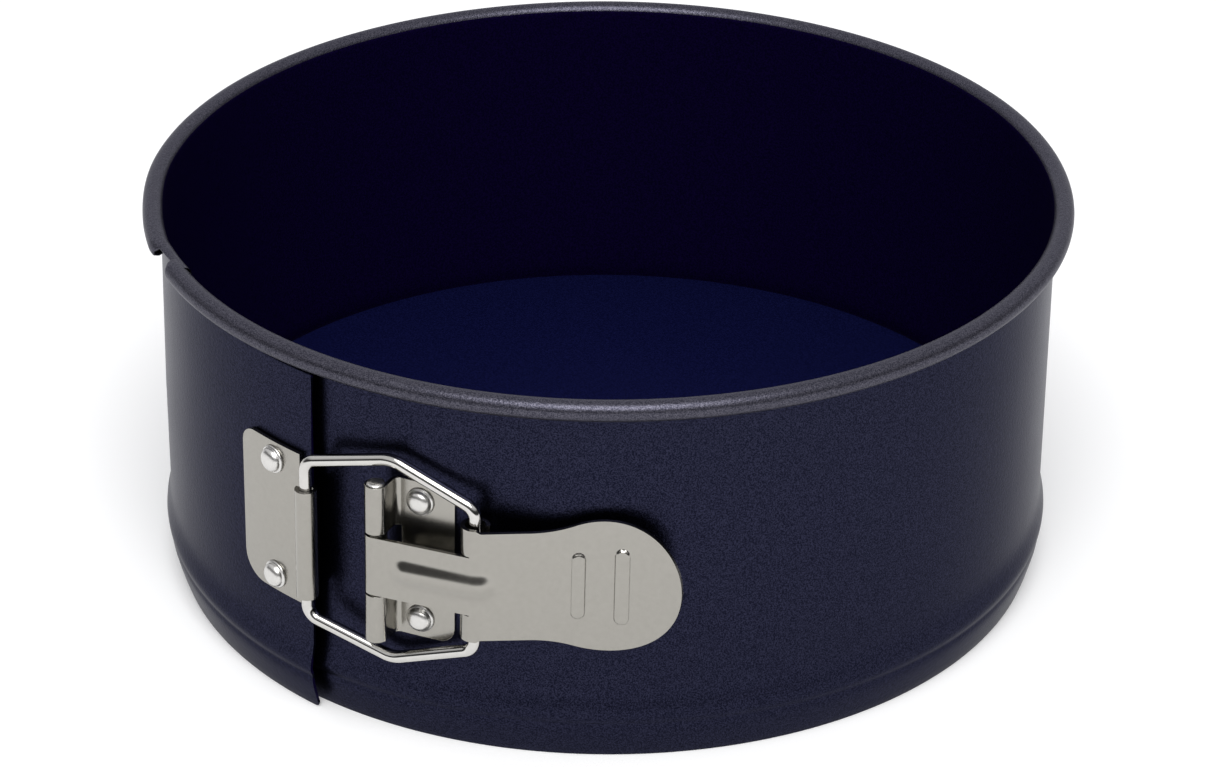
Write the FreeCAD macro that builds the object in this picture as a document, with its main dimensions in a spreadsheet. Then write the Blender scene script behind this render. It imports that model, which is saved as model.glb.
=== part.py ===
import FreeCAD, Part

import math
import os

import Sketcher
from FreeCAD import Placement, Rotation, Vector

# A springform cake pan. A steel strip is rolled into a ring whose ends overlap at the front left, a loose
# base sits in a bead near the foot of the ring, and an over-centre clasp draws the strip's ends together.
#
# Frame: Z is the axis of the pan and Z = 0 is the surface that it stands on. The clasp's hinge pin is at -Y.
# An azimuth is measured about the pan's axis from -Y towards +X, so the hinge pin is at azimuth 0.

DIMENSIONS = {
    # ring
    "pan_height": 80.0,
    "wall_radius": 91.4,
    "sheet_thickness": 0.6,
    "rim_tube_radius": 2.1,
    "bead_top": 14.6,
    "bead_shoulder": 12.3,
    "bead_crown": 9.9,
    "bead_proud": 1.05,
    "crease_height": 8.2,
    "crease_proud": 0.1,
    "ledge_height": 7.4,
    "ledge_proud": 0.6,
    "lip_radius": 90.1,
    # the strip's two ends: the inner end starts at the first azimuth, goes once round the pan and leaves
    # the circle at the second, on a wider arc; the next two are about the wider arc's own centre
    "inner_end_azimuth": -40.8,
    "tangent_azimuth": -78.0,
    "rear_rim_end_azimuth": -47.3,
    "outer_end_azimuth": -12.55,
    "outer_arc_extra": 4.6,
    "tucked_top": 75.4,
    "leaf_sweep": 3.8,
    "crush_end_azimuth": -43.3,
    "tongue_sweep": 6.5,
    "tongue_tube_radius": 1.1,
    "tongue_ring_radius": 92.6,
    # base
    "base_radius": 91.1,
    "base_top": 12.8,
    "base_thickness": 0.7,
    "hem_radius": 1.1,
    # clasp
    "clasp_height": 40.9,
    "plate_thickness": 0.8,
    "pin_radius": 1.4,
    "wire_radius": 1.25,
    "wire_gap": 0.1,
    "pin_head_proud": 0.4,
    "pin_head_thickness": 0.4,
    "knuckle_radius": 2.2,
    "knuckle_bore": 1.45,
    "pin_distance": 96.2,
    "bracket_half_height": 17.2,
    "bracket_right_azimuth": 8.9,
    "bracket_corner": 3.0,
    "bracket_gap": 6.85,
    "bracket_rivet_azimuth": 4.5,
    "rivet_height": 13.0,
    "rivet_flange_radius": 2.9,
    "rivet_flange_height": 0.45,
    "rivet_head_radius": 2.5,
    "rivet_head_height": 1.85,
    "rivet_shank_radius": 1.4,
    "rivet_clearance": 0.05,
    "rivet_tail_radius": 2.4,
    "rivet_tail_thickness": 0.5,
    "catch_azimuth": -9.63,
    "catch_distance": 96.4,
    "catch_half_height": 16.9,
    "catch_left_azimuth": -21.6,
    "catch_right_azimuth": -11.3,
    "catch_top_corner": 3.5,
    "catch_bottom_corner": 5.5,
    "catch_rivet_azimuth": -15.8,
    "curl_half_height": 12.0,
    "curl_drop": 1.0,
    "curl_sweep": 262.0,
    "eye_azimuth": 12.05,
    "eye_distance": 95.7,
    "bail_left_half": 17.2,
    "bail_peak_half": 22.1,
    "bail_right_half": 15.5,
    "bail_peak_along": 18.6,
    "bail_corner_radius": 3.0,
    "bail_peak_radius": 6.0,
    # lever
    "tongue_half_height": 6.35,
    "tongue_slope": 6.1,
    "tongue_length": 21.2,
    "shoulder_start": 18.0,
    "shoulder_end": 22.0,
    "shoulder_half_height": 12.25,
    "waist_half_height": 11.7,
    "thumb_slope": 30.4,
    "thumb_straight": 19.4,
    "thumb_curve_radius": 45.0,
    "thumb_end_centre": 42.9,
    "thumb_end_radius": 14.2,
    "neck_radius": 20.0,
    "rib_height": 0.8,
    "rib_half_width": 2.4,
    "rib_start": 4.9,
    "rib_end": 23.5,
    "grip_rib_height": 0.45,
    "grip_rib_half_width": 1.25,
    "grip_rib_left_along": 0.2,
    "grip_rib_right_along": 7.1,
    "grip_rib_left_length": 14.4,
    "grip_rib_right_length": 16.6,
    "rib_side_angle": 35.0,
    "grip_rib_side_angle": 15.0,
}

doc = FreeCAD.newDocument("springform_pan")
sheet = doc.addObject("Spreadsheet::Sheet", "dims")
for row, (alias, number) in enumerate(DIMENSIONS.items(), start=1):
    sheet.set(f"A{row}", alias)
    sheet.set(f"B{row}", str(number))
    sheet.setAlias(f"B{row}", alias)
doc.recompute()


def cell(alias):
    """The number in the sheet's cell of that name."""
    return float(sheet.get(alias))


def make(kind, name, **sizes):
    """A document object whose sizes are bound to formulas of the sheet's cells."""
    made = doc.addObject(kind, name)
    for size, formula in sizes.items():
        made.setExpression(size, formula)
    return made


def join(name, *pieces):
    fused = doc.addObject("Part::MultiFuse", name)
    fused.Shapes = list(pieces)
    fused.Refine = True
    return fused


def cut(name, base, tool):
    made = doc.addObject("Part::Cut", name)
    made.Base = base
    made.Tool = tool
    return made


def common(name, *pieces):
    made = doc.addObject("Part::MultiCommon", name)
    made.Shapes = list(pieces)
    return made


def turned(azimuth, centre=Vector(0, 0, 0), height=0.0):
    """A place on a vertical axis through centre, with its own X axis pointing along an azimuth."""
    return Placement(centre + Vector(0, 0, height), Rotation(Vector(0, 0, 1), azimuth - 90))


def spot(azimuth, distance, height=0.0, centre=Vector(0, 0, 0)):
    """The point at an azimuth and a distance from a vertical axis."""
    angle = math.radians(azimuth)
    return centre + Vector(distance * math.sin(angle), -distance * math.cos(angle), height)


def azimuth_about(centre, point):
    return math.degrees(math.atan2(point.x - centre.x, centre.y - point.y))


def value(formula):
    """What a formula of the sheet's cells comes to."""
    return float(sheet.evalExpression(formula))


def bind(sketch, formula, kind, *geometry):
    """Adds a dimension to a sketch and binds it to a formula of the sheet's cells."""
    number = value(formula)
    index = sketch.addConstraint(Sketcher.Constraint(kind, *geometry, number))
    sketch.setExpression(f"Constraints[{index}]", formula)


def pin_point(sketch, geometry, end, corner):
    """Places one point of a sketch at two formulas of the sheet's cells."""
    for kind, other_axis, formula in zip(("DistanceX", "DistanceY"), (-2, -1), corner):
        if abs(value(formula)) < 1e-9:
            sketch.addConstraint(Sketcher.Constraint("PointOnObject", geometry, end, other_axis))
        else:
            bind(sketch, formula, kind, -1, 1, geometry, end)


def outline(name, owner, corners, placement, roll=None, hollow=None):
    """A sketch of a closed outline. Each corner is two formulas of the sheet's cells.

    With roll, the last side is an arc of that radius, anticlockwise from the first corner to the last; with
    hollow, a circle of that radius is left open at the arc's centre.
    """
    sketch = owner.newObject("Sketcher::SketchObject", name)
    sketch.Placement = placement
    places = [Vector(*(value(formula) for formula in corner), 0) for corner in corners]
    last = len(places) - 1
    for n in range(last):
        sketch.addGeometry(Part.LineSegment(places[n], places[n + 1]))
    for n in range(last - 1):
        sketch.addConstraint(Sketcher.Constraint("Coincident", n, 2, n + 1, 1))
    if roll is None:
        sketch.addGeometry(Part.LineSegment(places[last], places[0]))
        sketch.addConstraint(Sketcher.Constraint("Coincident", last - 1, 2, last, 1))
        sketch.addConstraint(Sketcher.Constraint("Coincident", last, 2, 0, 1))
    else:
        radius = value(roll)
        centre = places[last] + Vector(radius, 0, 0)
        first = places[0] - centre
        circle = Part.Circle(centre, Vector(0, 0, 1), radius)
        sketch.addGeometry(Part.ArcOfCircle(circle, math.atan2(first.y, first.x), math.pi))
        sketch.addConstraint(Sketcher.Constraint("Coincident", last - 1, 2, last, 2))
        sketch.addConstraint(Sketcher.Constraint("Coincident", last, 1, 0, 1))
        bind(sketch, roll, "Radius", last)
    for n in range(last):
        pin_point(sketch, n, 1, corners[n])
    pin_point(sketch, last - 1, 2, corners[last])
    if hollow is not None:
        sketch.addGeometry(Part.Circle(centre, Vector(0, 0, 1), value(hollow)))
        sketch.addConstraint(Sketcher.Constraint("Coincident", last + 1, 3, last, 3))
        bind(sketch, hollow, "Radius", last + 1)
    return sketch


def disc(name, owner, corner, radius, placement):
    """A sketch of one circle."""
    sketch = owner.newObject("Sketcher::SketchObject", name)
    sketch.Placement = placement
    centre = Vector(*(value(formula) for formula in corner), 0)
    sketch.addGeometry(Part.Circle(centre, Vector(0, 0, 1), value(radius)))
    pin_point(sketch, 0, 3, corner)
    bind(sketch, radius, "Radius", 0)
    return sketch


def upright(azimuth, centre=Vector(0, 0, 0)):
    """The placement of a sketch whose X axis is radial at an azimuth and whose Y axis is vertical."""
    return turned(azimuth, centre).multiply(Placement(Vector(), Rotation(Vector(1, 0, 0), 90)))


def revolved(name, sketch, angle):
    """Turns a sketch of a body about the vertical axis through the sketch's origin."""
    made = sketch.getParentGeoFeatureGroup().newObject("PartDesign::Revolution", name)
    made.Profile = sketch
    made.ReferenceAxis = (sketch, ["V_Axis"])
    made.setExpression("Angle", angle)
    return made


def shell_sector(name, centre, start, sweep, inner, outer, half_height):
    """A curved plate: the part of an upright tube between two azimuths, centred on the clasp's height."""
    tubes = []
    height = f"2 * {half_height}"
    for side, radius in (("outer", outer), ("inner", inner)):
        tube = make("Part::Cylinder", f"{name}_{side}", Radius=radius, Height=height)
        tube.Angle = sweep
        tube.Placement = turned(start, centre, cell("clasp_height") - value(half_height))
        tubes.append(tube)
    return cut(name, *tubes)


def rod(name, radius, half_height, centre, low=None):
    """An upright round bar centred on the clasp's height, or from a low end given relative to it."""
    made = make("Part::Cylinder", name, Radius=radius, Height=f"2 * {half_height}")
    bottom = -value(half_height) if low is None else low
    made.Placement = Placement(centre + Vector(0, 0, cell("clasp_height") + bottom), Rotation())
    return made


def rounded(name, base, corners):
    """Fillets the short edges of a plate that run through its thickness: corners lists (height, radius, test)."""
    doc.recompute()
    made = doc.addObject("Part::Fillet", name)
    made.Base = base
    chosen = []
    for number, edge in enumerate(base.Shape.Edges, start=1):
        low, high = edge.BoundBox.ZMin, edge.BoundBox.ZMax
        through = abs(edge.Length - cell("plate_thickness")) < 0.05 and high - low < 0.01
        for height, radius, test in corners:
            if through and abs(low - height) < 0.01 and test(edge.CenterOfMass):
                chosen.append((number, radius, radius))
    made.Edges = chosen
    return made


ORIGIN = Vector(0, 0, 0)
OUTER_CENTRE = spot(cell("tangent_azimuth"), -cell("outer_arc_extra"))
PIN = spot(0, cell("pin_distance"))
CATCH = spot(cell("catch_azimuth"), cell("catch_distance"))
EYE = spot(cell("eye_azimuth"), cell("eye_distance"))


# ---- side ring ----


def strip_section(name, body, placement, extra="0", top=None):
    """The strip's section: lip, ledge, crease, bead for the base and wall, up to a height or to the rolled rim."""
    rim_middle = "dims.pan_height - dims.rim_tube_radius"
    roll_reach = "sqrt(dims.rim_tube_radius ^ 2 - (dims.rim_tube_radius - dims.sheet_thickness) ^ 2)"
    steps = [
        ("dims.wall_radius", top or f"{rim_middle} - {roll_reach}"),
        ("dims.wall_radius", "dims.bead_top"),
        ("dims.wall_radius + 0.5 * dims.bead_proud", "dims.bead_shoulder"),
        ("dims.wall_radius + dims.bead_proud", "dims.bead_crown"),
        ("dims.wall_radius + dims.crease_proud", "dims.crease_height"),
        ("dims.wall_radius + dims.ledge_proud", "dims.ledge_height"),
        ("dims.lip_radius", "0"),
    ]
    outside = [(f"{radius} + {extra}", height) for radius, height in steps]
    inside = [(f"{radius} + {extra} - dims.sheet_thickness", height) for radius, height in reversed(steps)]
    if top:
        return outline(name, body, outside + inside, placement)
    inside[-1] = (inside[-1][0], rim_middle)
    roll, hollow = "dims.rim_tube_radius", "dims.rim_tube_radius - dims.sheet_thickness"
    return outline(name, body, outside + inside, placement, roll, hollow)


def side_ring():
    body = doc.addObject("PartDesign::Body", "side_ring")
    start, tangent, rear = (cell(a) for a in ("inner_end_azimuth", "tangent_azimuth", "rear_rim_end_azimuth"))
    extra = "dims.outer_arc_extra"
    leaf_start = start - cell("leaf_sweep")
    around = strip_section("around_section", body, upright(start))
    revolved("around", around, "360 + dims.tangent_azimuth - dims.inner_end_azimuth")
    leaf = strip_section("leaf_section", body, upright(leaf_start), top="dims.tucked_top")
    revolved("leaf", leaf, "dims.leaf_sweep")
    wider = strip_section("wider_section", body, upright(tangent, OUTER_CENTRE), extra)
    revolved("wider", wider, "dims.rear_rim_end_azimuth - dims.tangent_azimuth")
    tucked = strip_section("tucked_section", body, upright(rear, OUTER_CENTRE), extra, "dims.tucked_top")
    revolved("tucked", tucked, "dims.outer_end_azimuth - dims.rear_rim_end_azimuth")

    # the rear end of the rim is crushed to a tongue that slides in the open mouth of the front rim
    rim_middle = "dims.pan_height - dims.rim_tube_radius"
    rim_ring = "dims.wall_radius - dims.sheet_thickness + dims.rim_tube_radius"
    place = upright(rear, OUTER_CENTRE)
    start_middle = (f"{rim_ring} + {extra}", rim_middle)
    wide = disc("crush_start", body, start_middle, "dims.rim_tube_radius", place)
    place = upright(cell("crush_end_azimuth"))
    middle = ("dims.tongue_ring_radius", rim_middle)
    narrow = disc("crush_end", body, middle, "dims.tongue_tube_radius", place)
    crush = body.newObject("PartDesign::AdditiveLoft", "crush")
    crush.Profile = wide
    crush.Sections = [narrow]
    tongue = disc("tongue_section", body, middle, "dims.tongue_tube_radius", place)
    revolved("rim_tongue", tongue, "dims.tongue_sweep")

    bore = "dims.rivet_shank_radius + dims.rivet_clearance"
    for name in RIVETS:
        hole = disc(f"{name}_outline", body, ("0", "0"), bore, rivet_placement(name))
        pocket = body.newObject("PartDesign::Pocket", f"{name}_pocket")
        pocket.Profile = hole
        pocket.setExpression("Length", "3 * dims.plate_thickness")
    return body


# ---- rivets ----

RIVETS = {
    # azimuth, side of the clasp's middle, and the surface under the head: distance and axis
    "bracket_rivet_upper": ("bracket_rivet_azimuth", 1, ORIGIN),
    "bracket_rivet_lower": ("bracket_rivet_azimuth", -1, ORIGIN),
    "catch_rivet_upper": ("catch_rivet_azimuth", 1, OUTER_CENTRE),
    "catch_rivet_lower": ("catch_rivet_azimuth", -1, OUTER_CENTRE),
}


def rivet_placement(name):
    """Origin on the outside of the clasp's plate, with Z pointing out of the pan."""
    alias, side, centre = RIVETS[name]
    extra = cell("outer_arc_extra") if centre is OUTER_CENTRE else 0.0
    distance = cell("wall_radius") + extra + cell("plate_thickness")
    azimuth = azimuth_about(centre, spot(cell(alias), cell("wall_radius") + 3))
    height = cell("clasp_height") + side * cell("rivet_height")
    outward = Rotation(Vector(0, 0, 1), spot(azimuth, 1.0))
    return Placement(spot(azimuth, distance, height, centre), outward)


def rivet_hole(name):
    hole = make(
        "Part::Cylinder",
        f"{name}_hole",
        Radius="dims.rivet_shank_radius + dims.rivet_clearance",
        Height="4 * dims.plate_thickness",
    )
    inwards = Placement(Vector(0, 0, -3 * cell("plate_thickness")), Rotation())
    hole.Placement = rivet_placement(name).multiply(inwards)
    return hole


def rivet(name):
    """A flanged, domed head, a shank through plate and strip, and a flat tail inside the strip."""
    grip = "(dims.plate_thickness + dims.sheet_thickness + dims.rivet_clearance)"
    squares = "(dims.rivet_head_radius ^ 2 + dims.rivet_head_height ^ 2)"
    dome_radius = f"({squares} / (2 * dims.rivet_head_height))"
    ball = make("Part::Sphere", f"{name}_ball", Radius=dome_radius)
    ball.setExpression("Placement.Base.z", f"dims.rivet_head_height - {dome_radius}")
    drum = make("Part::Cylinder", f"{name}_drum", Radius="dims.rivet_head_radius")
    drum.setExpression("Height", "dims.rivet_head_height")
    dome = common(f"{name}_dome", ball, drum)
    flange = make("Part::Cylinder", f"{name}_flange", Radius="dims.rivet_flange_radius")
    flange.setExpression("Height", "dims.rivet_flange_height")
    head = join(f"{name}_head", dome, flange)
    shank = make(
        "Part::Cylinder",
        f"{name}_shank",
        Radius="dims.rivet_shank_radius",
        Height=f"{grip} + dims.rivet_tail_thickness + 0.5 * dims.rivet_head_height",
    )
    shank.setExpression("Placement.Base.z", f"-{grip} - dims.rivet_tail_thickness")
    tail = make("Part::Cylinder", f"{name}_tail", Radius="dims.rivet_tail_radius")
    tail.setExpression("Height", "dims.rivet_tail_thickness")
    tail.setExpression("Placement.Base.z", f"-{grip} - dims.rivet_tail_thickness")
    made = join(name, head, shank, tail)
    made.Placement = rivet_placement(name)
    return made


# ---- base ----


def base_plate():
    """A flat disc whose edge is rolled under into a round hem that sits in the ring's bead."""
    body = doc.addObject("PartDesign::Body", "base_plate")
    hem_middle = "dims.base_radius - dims.hem_radius"
    flat_section = outline(
        "flat_section",
        body,
        [
            ("0", "dims.base_top"),
            ("0", "dims.base_top - dims.base_thickness"),
            (hem_middle, "dims.base_top - dims.base_thickness"),
            (hem_middle, "dims.base_top"),
        ],
        upright(0),
    )
    revolved("flat", flat_section, "360")
    hem_place = (hem_middle, "dims.base_top - dims.hem_radius")
    hem_section = disc("hem_section", body, hem_place, "dims.hem_radius", upright(0))
    revolved("hem", hem_section, "360")
    return body


# ---- hinge bracket and its pin ----


def hinge_bracket():
    """A plate riveted to the inner end, bent up into a riser and rolled into two knuckles about the pin."""
    riser_right = cell("knuckle_radius")
    riser_left = riser_right - cell("plate_thickness")
    plate_start = math.degrees(math.asin(riser_left / cell("wall_radius")))
    plate = shell_sector(
        "bracket_plate",
        ORIGIN,
        plate_start,
        cell("bracket_right_azimuth") - plate_start,
        "dims.wall_radius",
        "dims.wall_radius + dims.plate_thickness",
        "dims.bracket_half_height",
    )
    pieces = []
    length = "(dims.bracket_half_height - dims.bracket_gap)"
    for side, low in (("upper", cell("bracket_gap")), ("lower", -cell("bracket_half_height"))):
        knuckle = rod(f"{side}_knuckle", "dims.knuckle_radius", f"{length} / 2", PIN, low)
        riser = make(
            "Part::Box",
            f"{side}_riser",
            Length="dims.plate_thickness",
            Width="dims.pin_distance - dims.wall_radius - 0.25 * dims.plate_thickness",
            Height=length,
        )
        riser.Placement = Placement(PIN + Vector(riser_left, 0, cell("clasp_height") + low), Rotation())
        pieces += [knuckle, riser]
    half = cell("bracket_half_height")
    radius = cell("bracket_corner")
    middle = cell("clasp_height")

    def is_right(point):
        return point.x > 2 * cell("knuckle_radius")

    corners = [(middle - half, radius, is_right), (middle + half, radius, is_right)]
    shaped = rounded("bracket_outline", plate, corners)
    body = join("bracket_body", shaped, *pieces)
    bore = rod("bracket_bore", "dims.knuckle_bore", "dims.bracket_half_height + 1", PIN)
    holes = join("bracket_holes", bore, *(rivet_hole(name) for name in list(RIVETS)[:2]))
    return cut("hinge_bracket", body, holes)


def hinge_pin():
    """A straight pin, peened over at both ends."""
    half, thickness = cell("bracket_half_height"), cell("pin_head_thickness")
    shaft = rod("pin_shaft", "dims.pin_radius", "dims.bracket_half_height + dims.pin_head_thickness", PIN)
    pieces = [shaft]
    for side, low in (("upper", half), ("lower", -half - thickness)):
        radius = "dims.pin_radius + dims.pin_head_proud"
        pieces.append(rod(f"pin_{side}_head", radius, "dims.pin_head_thickness / 2", PIN, low))
    return join("hinge_pin", *pieces)


# ---- catch plate ----


def catch_plate():
    """A plate riveted to the outer end, whose right edge is rolled over the bail's left leg."""
    outer_face = "dims.wall_radius + dims.outer_arc_extra"
    surface = cell("wall_radius") + 3
    left, right = (
        azimuth_about(OUTER_CENTRE, spot(cell(alias), surface))
        for alias in ("catch_left_azimuth", "catch_right_azimuth")
    )
    foot = azimuth_about(OUTER_CENTRE, CATCH)
    radii = (outer_face, f"{outer_face} + dims.plate_thickness")
    plate = shell_sector("catch_flat", OUTER_CENTRE, left, right - left, *radii, "dims.catch_half_height")
    middle, half = cell("clasp_height"), cell("catch_half_height")

    def is_left(point):
        return point.x < CATCH.x - 10

    shaped = rounded(
        "catch_outline",
        plate,
        [
            (middle + half, cell("catch_top_corner"), is_left),
            (middle - half, cell("catch_bottom_corner"), is_left),
        ],
    )
    neck = shell_sector("catch_neck", OUTER_CENTRE, right - 1, foot - right + 1, *radii, "dims.curl_half_height")
    neck.setExpression("Placement.Base.z", "-dims.curl_drop")

    # the curl starts under the wire, goes round its right side and over its front, and ends at its left
    curl_tubes = []
    bore_radius = "dims.wire_radius + dims.wire_gap"
    for side, radius in (("outer", f"{bore_radius} + dims.plate_thickness"), ("bore", bore_radius)):
        tube = make("Part::Cylinder", f"curl_{side}", Radius=radius, Height="2 * dims.curl_half_height")
        tube.setExpression("Angle", "dims.curl_sweep")
        towards_pan = azimuth_about(CATCH, OUTER_CENTRE)
        low = middle - cell("curl_drop") - cell("curl_half_height")
        tube.Placement = turned(towards_pan - cell("curl_sweep"), CATCH, low)
        curl_tubes.append(tube)
    curl = cut("catch_curl", *curl_tubes)
    body = join("catch_body", shaped, neck, curl)
    bore = rod("catch_bore", bore_radius, "dims.bail_left_half", CATCH)
    holes = join("catch_holes", bore, *(rivet_hole(name) for name in list(RIVETS)[2:]))
    return cut("catch_plate", body, holes)


# ---- bail ----


def bail():
    """A closed six-sided wire loop: a straight leg in the catch plate's curl and one behind the lever."""
    along = (EYE - CATCH).normalize()
    length = (EYE - CATCH).Length
    centre = CATCH + Vector(0, 0, cell("clasp_height"))
    left, peak, right = (cell(f"bail_{part}_half") for part in ("left", "peak", "right"))
    peak_along = cell("bail_peak_along")
    corner, bend = cell("bail_corner_radius"), cell("bail_peak_radius")
    corners = [
        (0, -left, corner),
        (0, left, corner),
        (peak_along, peak, bend),
        (length, right, corner),
        (length, -right, corner),
        (peak_along, -peak, bend),
    ]
    points = [centre + along * u + Vector(0, 0, v) for u, v, radius in corners]
    starts, ends, arcs = [], [], []
    for n, (u, v, radius) in enumerate(corners):
        here = points[n]
        back = (points[n - 1] - here).normalize()
        on = (points[(n + 1) % len(points)] - here).normalize()
        half_angle = back.getAngle(on) / 2
        reach = radius / math.tan(half_angle)
        inside = (back + on).normalize() * (radius / math.sin(half_angle) - radius)
        starts.append(here + back * reach)
        ends.append(here + on * reach)
        arcs.append(Part.Arc(starts[-1], here + inside, ends[-1]).toShape())
    after = starts[1:] + starts[:1]
    runs = [Part.LineSegment(end, start).toShape() for end, start in zip(ends, after)]
    middle = (ends[0] + starts[1]) * 0.5
    first = Part.LineSegment(middle, starts[1]).toShape()
    last = Part.LineSegment(ends[0], middle).toShape()
    edges = [first]
    for n in range(1, len(points)):
        edges += [arcs[n], runs[n]]
    edges += [arcs[0], last]
    path = Part.Wire(edges)
    section = Part.Wire(Part.makeCircle(cell("wire_radius"), middle, Vector(0, 0, 1)))
    made = doc.addObject("Part::Feature", "bail")
    made.Shape = path.makePipeShell([section], True, False)
    return made


# ---- lever ----


def along_lever(point, slope):
    """A place on the lever's front face: X runs along the lever, Y into its back and Z up."""
    return Placement(point + Vector(0, 0, cell("clasp_height")), Rotation(Vector(0, 0, 1), slope))


def stadium_rib(name, length, half_width, height, side_angle, placement):
    """A raised rib with round ends and sloping sides. Its foot is in the middle of the sheet."""
    foot = cell("plate_thickness") / 2
    outline = doc.addObject("Sketcher::SketchObject", f"{name}_outline")
    straight = length / 2 - half_width
    up, right = Vector(0, half_width, 0), Vector(straight, 0, 0)
    outline.addGeometry(Part.LineSegment(up - right, up + right))
    outline.addGeometry(Part.LineSegment(right - up, -up - right))
    circle = Part.Circle(right, Vector(0, 0, 1), half_width)
    outline.addGeometry(Part.ArcOfCircle(circle, -math.pi / 2, math.pi / 2))
    circle = Part.Circle(-right, Vector(0, 0, 1), half_width)
    outline.addGeometry(Part.ArcOfCircle(circle, math.pi / 2, math.pi * 3 / 2))
    outline.Placement = placement.multiply(Placement(Vector(0, foot, 0), Rotation(Vector(1, 0, 0), 90)))
    rib = doc.addObject("Part::Extrusion", name)
    rib.Base = outline
    rib.DirMode = "Normal"
    rib.LengthFwd = foot + height
    rib.TaperAngle = -side_angle
    rib.Solid = True
    return rib


def lever():
    """Sheet steel: a knuckle on the pin, a narrow tongue, two shoulders over the bail, and a bent thumb piece."""
    tongue_slope, thumb_slope = cell("tongue_slope"), cell("thumb_slope")
    thickness = cell("plate_thickness")
    middle = cell("clasp_height")
    deep = 2 * cell("thumb_end_radius") + 2
    overlap_angle = 5
    front = -cell("pin_distance") - 6
    depth = 40

    def heading(slope):
        return Vector(math.cos(math.radians(slope)), math.sin(math.radians(slope)), 0)

    def outward(slope):
        return Vector(math.sin(math.radians(slope)), -math.cos(math.radians(slope)), 0)

    root = PIN + outward(tongue_slope) * cell("knuckle_radius")
    bend = root + heading(tongue_slope) * cell("tongue_length")
    thumb = bend + heading(thumb_slope) * cell("thumb_straight")
    curve_centre = thumb + outward(thumb_slope) * cell("thumb_curve_radius")

    # the sheet seen from above: two straight runs and a curve that flares away from the wall
    runs = []
    for name, start, slope, length in (
        ("tongue_run", root, tongue_slope, "dims.tongue_length"),
        ("thumb_run", bend, thumb_slope, "dims.thumb_straight"),
    ):
        run = make("Part::Box", name, Length=length, Width="dims.plate_thickness")
        run.Height = deep
        run.Placement = along_lever(start - Vector(0, 0, deep / 2), slope)
        runs.append(run)
    flare_tubes = []
    flare_outer = "dims.thumb_curve_radius + dims.plate_thickness"
    for side, radius in (("outer", flare_outer), ("inner", "dims.thumb_curve_radius")):
        tube = make("Part::Cylinder", f"flare_{side}", Radius=radius)
        tube.Height = deep
        tube.Angle = thumb_slope + overlap_angle
        low = curve_centre + Vector(0, 0, middle - deep / 2)
        tube.Placement = Placement(low, Rotation(Vector(0, 0, 1), 90 - overlap_angle))
        flare_tubes.append(tube)
    flare = cut("flare_run", *flare_tubes)
    sheet_run = join("lever_sheet", *runs, flare)

    # the outline seen from the front
    def block(name, start, end, half):
        made = make("Part::Box", name, Length=f"{end} - ({start})", Height=f"2 * {half}")
        made.Width = depth
        made.setExpression("Placement.Base.x", start)
        made.Placement.Base.y = front
        made.setExpression("Placement.Base.z", f"dims.clasp_height - {half}")
        return made

    def across(name, radius, x, z):
        made = make("Part::Cylinder", name, Radius=radius)
        made.Height = depth
        made.Placement = Placement(Vector(x, front, middle + z), Rotation(Vector(1, 0, 0), -90))
        return made

    end_radius, neck_radius = cell("thumb_end_radius"), cell("neck_radius")
    waist, end_x = cell("waist_half_height"), cell("thumb_end_centre")
    reach = math.sqrt((end_radius + neck_radius) ** 2 - (waist + neck_radius) ** 2)
    neck_start = end_x - reach
    neck_end = end_x - reach * end_radius / (end_radius + neck_radius)
    neck_top = (waist + neck_radius) * end_radius / (end_radius + neck_radius)
    neck_block = doc.addObject("Part::Box", "neck_block")
    neck_block.Length = neck_end - neck_start
    neck_block.Width = depth
    neck_block.Height = 2 * neck_top
    neck_block.Placement = Placement(Vector(neck_start, front, middle - neck_top), Rotation())
    neck_cuts = [
        across(f"neck_{side}", "dims.neck_radius", neck_start, sign * (waist + neck_radius))
        for side, sign in (("upper", 1), ("lower", -1))
    ]
    neck = cut("neck", neck_block, join("neck_cuts", *neck_cuts))
    outline = join(
        "lever_outline",
        block("tongue", "-1", "dims.shoulder_start + 1", "dims.tongue_half_height"),
        block("shoulders", "dims.shoulder_start", "dims.shoulder_end", "dims.shoulder_half_height"),
        block("waist", "dims.shoulder_end", f"{neck_start:.4f}", "dims.waist_half_height"),
        neck,
        across("thumb_end", "dims.thumb_end_radius", end_x, 0),
    )
    blank = common("lever_blank", sheet_run, outline)

    rib_length = cell("rib_end") - cell("rib_start")
    rib_centre_x = (cell("rib_start") + cell("rib_end")) / 2
    rib_middle = root + heading(tongue_slope) * (rib_centre_x - root.x)
    grip_height = cell("grip_rib_height")
    ribs = [
        stadium_rib(
            "long_rib",
            min(rib_length, 2 * (cell("tongue_length") - (rib_middle - root).Length)),
            cell("rib_half_width"),
            cell("rib_height"),
            cell("rib_side_angle"),
            along_lever(rib_middle, tongue_slope),
        )
    ]
    upright_turn = Placement(Vector(), Rotation(Vector(0, 1, 0), 90))
    first_grip = thumb + heading(thumb_slope) * cell("grip_rib_left_along")
    turn = math.degrees(cell("grip_rib_right_along") / cell("thumb_curve_radius"))
    flare_slope = thumb_slope - turn
    second_grip = curve_centre - outward(flare_slope) * cell("thumb_curve_radius")
    half_width, side_angle = cell("grip_rib_half_width"), cell("grip_rib_side_angle")
    for name, place, slope in (
        ("grip_rib_left", first_grip, thumb_slope),
        ("grip_rib_right", second_grip, flare_slope),
    ):
        placement = along_lever(place, slope).multiply(upright_turn)
        length = cell(f"{name}_length")
        ribs.append(stadium_rib(name, length, half_width, grip_height, side_angle, placement))

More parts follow.
